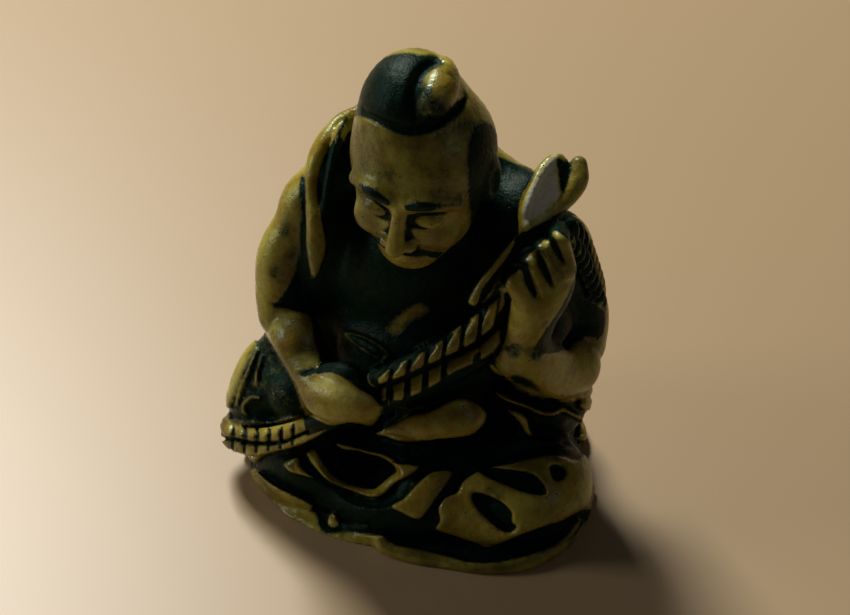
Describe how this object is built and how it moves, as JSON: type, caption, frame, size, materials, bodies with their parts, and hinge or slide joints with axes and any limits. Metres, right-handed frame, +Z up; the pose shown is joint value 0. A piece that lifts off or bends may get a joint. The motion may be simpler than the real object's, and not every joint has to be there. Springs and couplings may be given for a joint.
{
  "type": "carved netsuke figure",
  "caption": "Carved toggle: a seated robed figure with a topknot hauls a rope over the shoulder; flat underside and a cord channel at the back.",
  "frame": {"origin": "centre of the bounding box in plan, on the plane that the underside rests on", "axes": "+Z up, the figure's front towards -Y, +X at the right of someone who looks at its face"},
  "size_m": [0.0322, 0.0248, 0.0443],
  "materials": {
    "ivory_resin": "polished yellow ivory-like material, stained green-black in the recesses"
  },
  "bodies": {
    "root": {"netsuke": "ivory_resin"}
  },
  "joints": []
}
